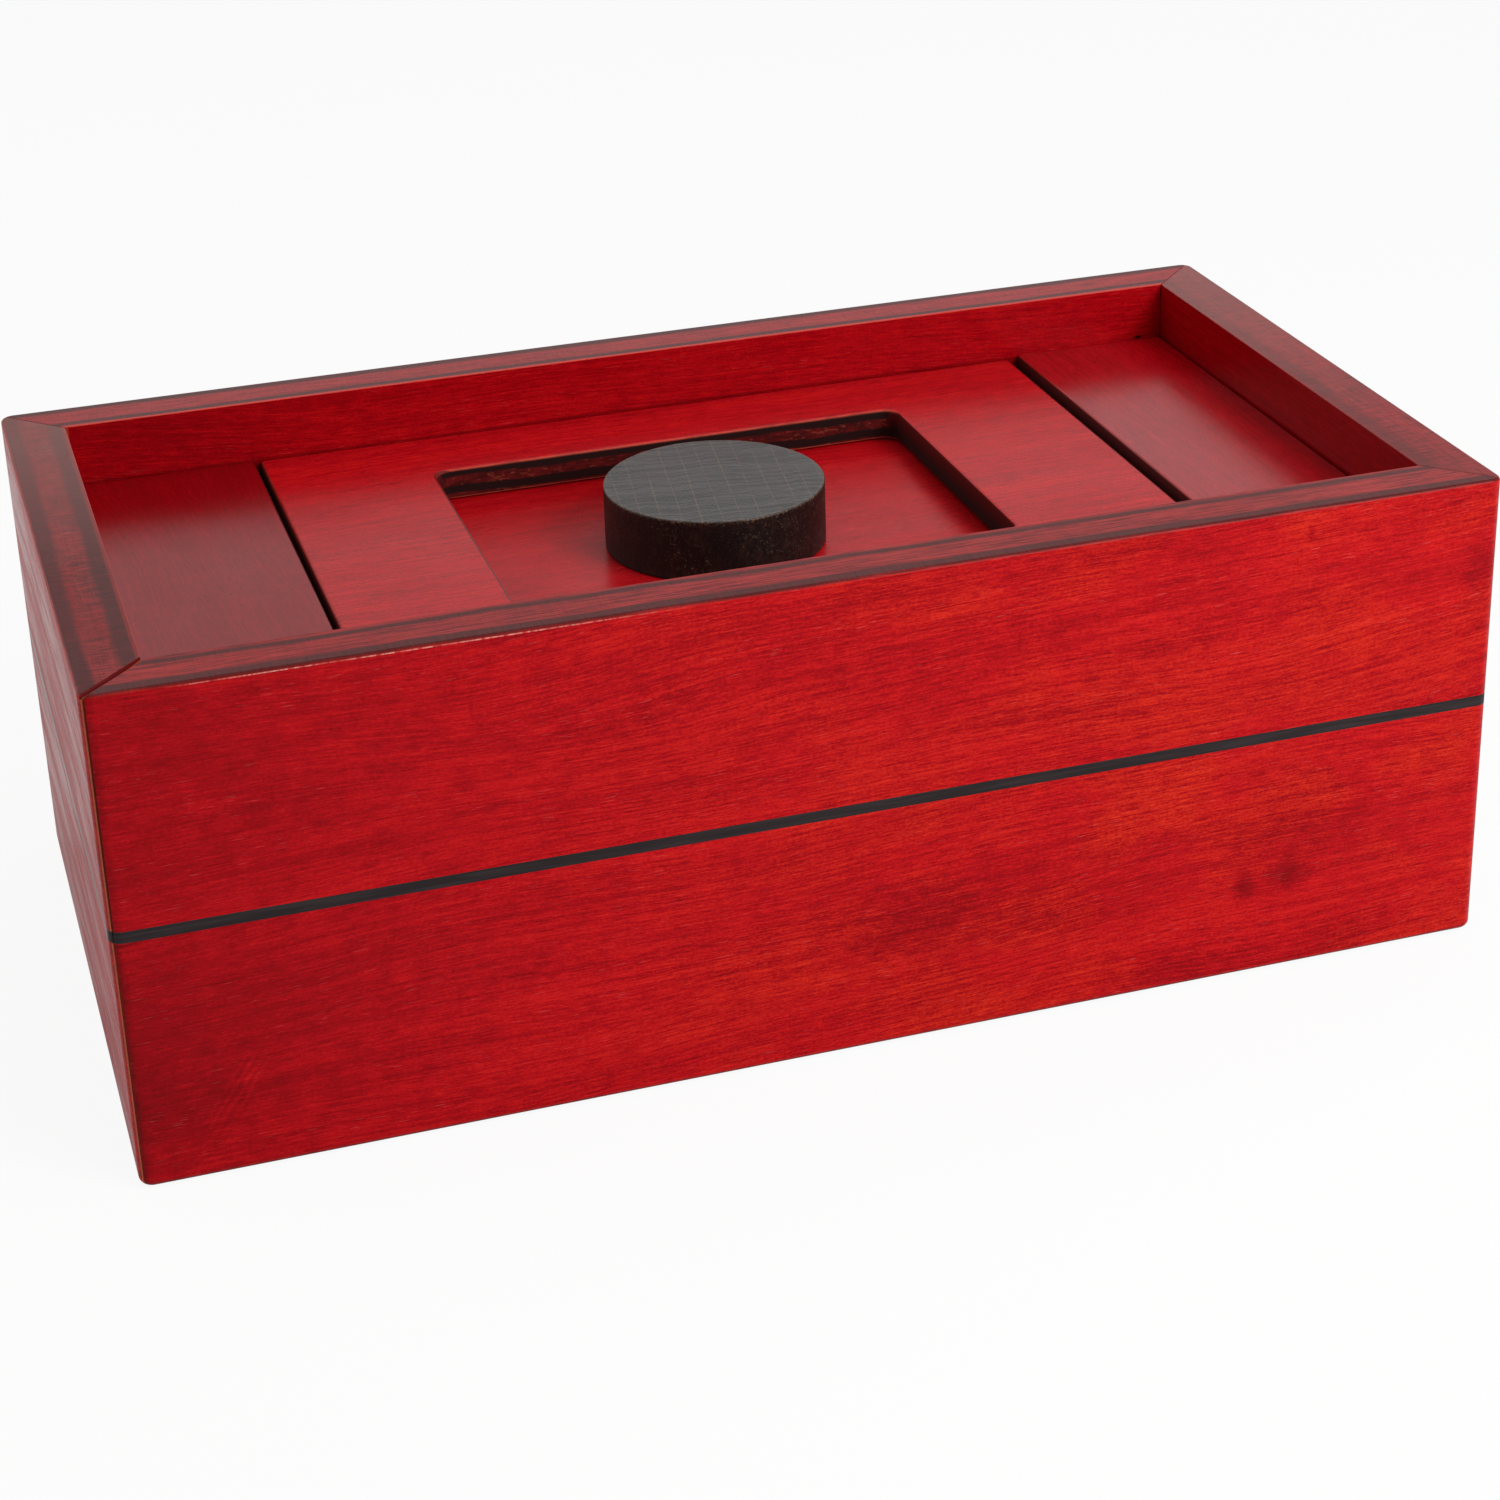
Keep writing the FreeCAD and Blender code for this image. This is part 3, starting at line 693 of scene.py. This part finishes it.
# Each side's directions along and into the board, its dark layers from and to a depth, and its wear:
# mitre: how dark the seam is at its low end and its high end
# layers, dark: how dark the cross layers and the core of the rim are
# combing, comb, strands: how far the saw combed the layers, and how strong its lines and the strands are
# worn, arris: how worn the rounded edges and the inner edge of the rim are
# foot: how dark the painted shadow line at the deck is
# sheen, roughness: streaks of smoother lacquer, and how rough the rest is
# fade: from where to where along the board the rim grows pale with painted sheen, and how much
# corner: colour, strength and reach of the line down the corner at its low end
# calm: from where to where along the board the grain grows calm, and its strength at both
SIDES = {
    "front": {
        "along": X, "inward": Y, "ply": ((0.0, 2.3), (6.9, 8.2)), "mitre": (1.0, 0.25),
        "layers": 1.0, "combing": 0.3, "strands": 1.0, "comb": 0.1, "dark": 0.28,
        "worn": 0.15, "arris": 0.0, "foot": 0.5, "sheen": 0.0, "roughness": 0.24,
        "fade": NO_PAINTED_RIM_SHEEN, "corner": (SEAM_AND_SHADE, 0.9, 0.52), "calm": (-10.0, -90.0, 1.0, 0.62),
    },
    "back": {
        "along": X, "inward": -Y, "ply": ((0.0, 2.2), (6.9, 8.2)), "mitre": (0.1, 0.05),
        "layers": 1.0, "combing": 0.4, "strands": 0.6, "comb": 0.2, "dark": 0.12,
        "worn": 0.5, "arris": 0.9, "foot": 0.5, "sheen": 0.0, "roughness": 0.24,
        "fade": NO_PAINTED_RIM_SHEEN, "corner": (CORNER_WEAR_AND_HIGHLIGHT, 0.3, 0.52), "calm": NO_CALM,
    },
    "left": {
        "along": Y, "inward": X, "ply": ((0.0, 2.4), (6.3, 9.5)), "mitre": (1.0, 0.1),
        "layers": 1.0, "combing": 0.9, "strands": 0.35, "comb": 1.0, "dark": 0.48,
        "worn": 0.9, "arris": 0.25, "foot": 0.5, "sheen": 0.15, "roughness": 0.31,
        "fade": (-20.0, 50.0, 0.45), "corner": (CORNER_WEAR_AND_HIGHLIGHT, 0.62, 0.66), "calm": NO_CALM,
    },
    "right": {
        "along": Y, "inward": -X, "ply": ((0.0, 0.6), (6.3, 9.5)), "mitre": (0.25, 0.05),
        "layers": 0.6, "combing": 2.4, "strands": 0.4, "comb": 0.5, "dark": 0.40,
        "worn": 0.5, "arris": 0.05, "foot": 0.2, "sheen": 0.08, "roughness": 0.26,
        "fade": (-30.0, 50.0, 0.35), "corner": (CORNER_WEAR_AND_HIGHLIGHT, 0.3, 0.52), "calm": NO_CALM,
    },
}

# Marks on single walls. A cloud or void has its middle and reach along and across the board, and depth.
# Chips have two ends, curl has its middle, and the glow says where painted orange light grows along the
# board and by how much
MARKS = {
    "lid_front_wall": {
        "clouds": (
            # The last cloud, wide across the left end, is painted shade: the face grows darker towards its
            # left end
            (69.8, 69.5, 0.8, 1.7, 0.28), (97.0, 60.0, 5.0, 9.0, 0.16), (-112.0, 58.0, 85.0, 40.0, 0.22),
        ),
        "chips": (-86.0, -30.0),
        "warm": (-60.0, 50.0, 0.0, 0.75),
    },
    "base_front_wall": {
        "clouds": (
            (61.7, 14.4, 3.0, 3.3, 0.44), (68.0, 15.0, 5.8, 3.5, 0.42), (74.0, 22.0, 20.0, 9.0, 0.10),
            (52.0, 4.0, 14.0, 4.0, 0.13), (78.0, 4.5, 12.0, 4.0, 0.13), (9.0, 18.0, 14.0, 9.0, 0.11),
            (36.0, 15.0, 14.0, 6.0, 0.09), (18.0, 20.0, 20.0, 10.0, 0.11),
            # The last cloud, wide across the left end, is painted shade: the face grows darker towards its
            # left end
            (-100.0, 12.0, 24.0, 14.0, 0.13), (-112.0, 20.0, 85.0, 40.0, 0.27),
        ),
        "warm": (-60.0, 30.0, 0.0, 1.0),
        "curl": (-86.0, 12.0),
        "corner": (SEAM_AND_SHADE, 0.35, 1.20),
    },
    "lid_back_wall": {
        # This wide cloud at the left end is painted shade: the face grows darker towards its left end
        "clouds": ((-110.0, -66.0, 80.0, 40.0, 0.14),),
        "voids": ((87.0, -64.4, 1.0, 0.45, 1.0),),
    },
}

# Tone and contrast of the walls whose inner faces show: the lower tones are painted shade inside the box
SHADED_INNER_WALLS = {"lid_back_wall": (-0.11, 0.65), "lid_right_wall": (-0.18, 0.40)}

# Dark layers of the deck panels and of the bare boards, from and to a depth
DECK_PLY = ((0.0, 1.4), (2.9, 4.2))
BARE_PLY = ((0.8, 1.6), (2.4, 3.2))

# Each panel's grain, tone, contrast, roughness and index of its lacquer, and width of its eased edges
PANELS = {
    # The end panels' lower tones are painted shade and painted dark reflection, where the walls shade the
    # ends of the deck
    "left_end_panel": (Y, -0.41, 0.5, 0.25, 1.255, 0.35),
    "right_end_panel": (Y, -0.22, 0.6, 0.20, 1.30, 0.35),
    "shift_panel": (X, -0.04, 0.9, 0.30, 1.23, 0.60),
    "slider_plate": (X, -0.06, 0.7, 0.28, 1.23, 0.35),
}

# Directions along and into each bare board, and the boards with painted shade on top
BARE_BOARDS = {
    "bottom_panel": (X, Z), "cover_plate": (X, Z), "bolt_bar": (X, Z), "rail_front": (X, Z),
    "rail_back": (X, Z), "runner_front": (X, Z), "runner_back": (X, Z), "knob_dowel": (Z, X),
    "liner_front": (X, Y), "liner_back": (X, -Y), "liner_left": (Y, X), "liner_right": (Y, -X),
}
SHADE_PAINTED_TOPS = ("cover_plate", "bolt_bar", "rail_front", "rail_back", "runner_front", "runner_back")

# Where each kind of board begins in the grain patterns
WALL_SEEDS = {"lid": 1.0, "base": 6.0}
PANEL_SEED = 12.0
BARE_SEED = 20.0

# Sanded edges and the open mitre, in millimetres and degrees
TOP_ROUND = 0.6
WALL_EASE = 0.12
BARE_EASE = 0.15
EASE_SEGMENTS = 2
MERGE_DISTANCE = 0.002
CUT_DISTANCE = 0.001
FLAT_ANGLE = 0.5
EDGE_ANGLE = 36
CREASE_ANGLE = 32
LINE_TOLERANCE = 0.01
MITRE_TOLERANCE = 0.3
OPEN_MITRE_WIDTH = 0.50
OPEN_MITRE_DEPTH = 0.60
OPEN_MITRE_BOARDS = ("lid_front_wall", "lid_left_wall")

# A slanting direction that puts the corners and faces of a cut board in order
ORDER_DIRECTION = Vector((1.0, 0.6180339, 0.2763932))


def eased_board(node, material, width_at):
    """A copy of a board, sanded along its sharp edges by the width at each, that stands for the node."""
    shape = bmesh.new()
    shape.from_mesh(frame["nodes"][node].data)
    bmesh.ops.remove_doubles(shape, verts=shape.verts, dist=MERGE_DISTANCE * MM)
    bmesh.ops.dissolve_limit(shape, angle_limit=math.radians(FLAT_ANGLE), verts=shape.verts,
                             edges=shape.edges)
    widths = {width_at(middle_of(edge)) for edge in sharp_edges(shape)} - {0.0}
    for width in sorted(widths, reverse=True):
        chosen = [edge for edge in sharp_edges(shape) if width_at(middle_of(edge)) == width]
        bmesh.ops.bevel(shape, geom=chosen, offset=width * MM, offset_type="OFFSET",
                        segments=EASE_SEGMENTS, profile=0.5, affect="EDGES", loop_slide=False)
    if node in OPEN_MITRE_BOARDS:
        sink_mitre(shape)
    mesh = bpy.data.meshes.new(f"{node}_board")
    shape.to_mesh(mesh)
    shape.free()
    mesh.materials.append(material)
    mesh.shade_smooth()
    mesh.set_sharp_from_angle(angle=math.radians(CREASE_ANGLE))
    board = bpy.data.objects.new(f"{node}_board", mesh)
    bpy.context.scene.collection.objects.link(board)
    flat = board.modifiers.new("even_normals", "WEIGHTED_NORMAL")
    flat.keep_sharp = True
    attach(board, frame["nodes"][node]["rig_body"])
    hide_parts(node)


def sink_mitre(shape):
    """Sink the rim beside the front left mitre, which is open at the top, into a narrow groove."""
    slant = Vector((1.0, -1.0, 0.0)).normalized()
    corner = Vector((-HALF_LENGTH, -HALF_DEPTH, 0.0))
    for side in (-1.0, 1.0):
        everything = shape.verts[:] + shape.edges[:] + shape.faces[:]
        cut = (corner + side * OPEN_MITRE_WIDTH * slant) * MM
        bmesh.ops.bisect_plane(shape, geom=everything, dist=CUT_DISTANCE * MM, plane_co=cut, plane_no=slant)
    for vert in shape.verts:
        place = vert.co / MM
        beside = abs((place - corner).dot(slant)) / OPEN_MITRE_WIDTH
        above = min(max((place.z - HEIGHT + TOP_ROUND) / TOP_ROUND, 0.0), 1.0)
        vert.co.z -= OPEN_MITRE_DEPTH * max(1.0 - beside, 0.0) * above * MM
    # The cuts leave corners and faces in an order that changes from run to run
    shape.verts.sort(key=lambda vert: vert.co.dot(ORDER_DIRECTION))
    shape.faces.sort(key=lambda face: face.calc_center_median().dot(ORDER_DIRECTION))


def sharp_edges(shape):
    """The edges between two faces that meet at more than the edge angle."""
    between = [edge for edge in shape.edges if len(edge.link_faces) == 2]
    return [edge for edge in between if edge.calc_face_angle() > math.radians(EDGE_ANGLE)]


def middle_of(edge):
    """The middle of an edge, in millimetres."""
    return (edge.verts[0].co + edge.verts[1].co) / 2 / MM


def wall_ease(point):
    """Sanding of a wall's edges: none beside the black line and at the mitres."""
    from_line = min(abs(point.z - BASE_TOP), abs(point.z - LINE_TOP))
    beside_line = from_line < LINE_TOLERANCE
    from_end = HALF_LENGTH - abs(point.x)
    from_side = HALF_DEPTH - abs(point.y)
    on_slant = abs(from_end - from_side) < MITRE_TOLERANCE
    at_mitre = on_slant and from_end < WALL + MITRE_TOLERANCE
    return 0.0 if beside_line or at_mitre else WALL_EASE


def make_walls():
    """The four walls of the lid and the four of the base."""
    for part, seed in WALL_SEEDS.items():
        for number, (side, wear) in enumerate(SIDES.items()):
            node = f"{part}_{side}_wall"
            tone, contrast = SHADED_INNER_WALLS.get(node, (0.0, 1.0))
            directions = (wear["along"], wear["inward"])
            board = Board(node, *directions, seed + number, wear["ply"], tone, contrast)
            material = red_wall(board, {**wear, **MARKS.get(node, {})})
            eased_board(node, material, wall_ease)


def make_panels():
    """The three boards of the deck, and the plate below its window."""
    for number, (node, finish) in enumerate(PANELS.items()):
        along, tone, contrast, roughness, ior, ease = finish
        board = Board(node, along, -Z, PANEL_SEED + number, DECK_PLY, tone, contrast)
        eased_board(node, red_panel(board, roughness, ior), lambda point: ease)


def make_bare_boards():
    """The unstained boards inside."""
    for number, (node, (along, inward)) in enumerate(BARE_BOARDS.items()):
        board = Board(node, along, inward, BARE_SEED + number, BARE_PLY)
        material = birch_board(board, node in SHADE_PAINTED_TOPS)
        eased_board(node, material, lambda point: BARE_EASE)


def dress_nodes():
    """Give the black strips and the knob their materials."""
    line = black_line()
    for side in SIDES:
        paint(f"band_{side}", line)
    paint("knob", knob_wood())


def paint(node, material):
    slots = frame["nodes"][node].data.materials
    for index in range(len(slots)):
        slots[index] = material


# Stage

def make_floor():
    """A wide square, just below the box."""
    mesh = bpy.data.meshes.new("floor")
    signs = ((-1, -1), (1, -1), (1, 1), (-1, 1))
    corners = [(x * FLOOR_REACH, y * FLOOR_REACH, FLOOR_LEVEL) for x, y in signs]
    mesh.from_pydata(corners, [], [(0, 1, 2, 3)])
    mesh.materials.append(floor_material())
    floor = bpy.data.objects.new("floor", mesh)
    bpy.context.scene.collection.objects.link(floor)


def make_light(name, place, power, size):
    """A rectangular light that is turned to the box."""
    lamp = bpy.data.lights.new(name, "AREA")
    lamp.energy = power
    lamp.shape = "RECTANGLE"
    lamp.size, lamp.size_y = size
    light = bpy.data.objects.new(name, lamp)
    light.location = place
    aim = LIGHT_TARGET - Vector(place)
    light.rotation_euler = aim.to_track_quat("-Z", "Y").to_euler()
    bpy.context.scene.collection.objects.link(light)


def make_world():
    """White to look at and in reflections, dimmer as a fill."""
    world = bpy.data.worlds.new("studio")
    bpy.context.scene.world = world
    world.use_nodes = True
    nodes = world.node_tree.nodes
    links = world.node_tree.links
    path = nodes.new("ShaderNodeLightPath")
    seen = path.outputs["Is Camera Ray"]
    for name in ("Is Glossy Ray", "Is Transmission Ray"):
        either = nodes.new("ShaderNodeMath")
        either.operation = "MAXIMUM"
        links.new(seen, either.inputs[0])
        links.new(path.outputs[name], either.inputs[1])
        seen = either.outputs[0]
    level = nodes.new("ShaderNodeMapRange")
    level.inputs["To Min"].default_value = WORLD_FILL
    level.inputs["To Max"].default_value = WORLD_SEEN
    links.new(seen, level.inputs["Value"])
    background = nodes["Background"]
    background.inputs["Color"].default_value = (1.0, 1.0, 1.0, 1.0)
    links.new(level.outputs[0], background.inputs["Strength"])


def make_camera():
    """The camera of the photograph, with its shifted lens."""
    azimuth = math.radians(CAMERA_AZIMUTH)
    elevation = math.radians(CAMERA_ELEVATION)
    roll = math.radians(CAMERA_ROLL)
    level = math.cos(elevation)
    back = Vector((math.sin(azimuth) * level, -math.cos(azimuth) * level, math.sin(elevation)))
    right = (-back).cross(Z).normalized()
    up = back.cross(right)
    across = math.cos(roll) * right + math.sin(roll) * up
    upward = math.cos(roll) * up - math.sin(roll) * right
    lens = bpy.data.cameras.new("camera")
    lens.lens = CAMERA_LENS
    lens.sensor_width = CAMERA_SENSOR
    lens.shift_x, lens.shift_y = CAMERA_SHIFT
    lens.clip_start = CAMERA_CLIP
    camera = bpy.data.objects.new("camera", lens)
    turn = Matrix((across, upward, back)).transposed().to_4x4()
    camera.matrix_world = Matrix.Translation((CAMERA_TARGET + back * CAMERA_DISTANCE) * MM) @ turn
    bpy.context.scene.collection.objects.link(camera)
    bpy.context.scene.camera = camera


make_walls()
make_panels()
make_bare_boards()
dress_nodes()
make_floor()
for light_name, (light_place, light_power, light_size) in LIGHTS.items():
    make_light(light_name, light_place, light_power, light_size)
make_world()
make_camera()
bpy.context.scene.view_settings.view_transform = "Standard"
